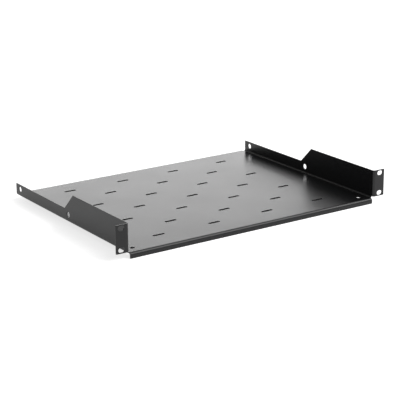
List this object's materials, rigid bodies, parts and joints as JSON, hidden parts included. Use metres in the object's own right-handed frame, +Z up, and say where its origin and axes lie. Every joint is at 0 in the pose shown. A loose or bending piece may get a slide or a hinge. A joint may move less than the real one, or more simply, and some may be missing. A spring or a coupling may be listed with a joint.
{
  "type": "rack shelf",
  "caption": "One-unit rack shelf folded from one steel sheet: slotted tray, stepped side flanges, front lip and two mounting ears.",
  "frame": {"origin": "middle of the four ear holes, on the back of the ears, where they meet the rack's rails", "axes": "+X across the rack to the right seen from the front, +Y back into the rack, +Z up"},
  "size_m": [0.4826, 0.341, 0.0525],
  "materials": {
    "black_powder_coat": "fine satin powder coat, black"
  },
  "bodies": {
    "root": {"shelf": "black_powder_coat"}
  },
  "joints": []
}
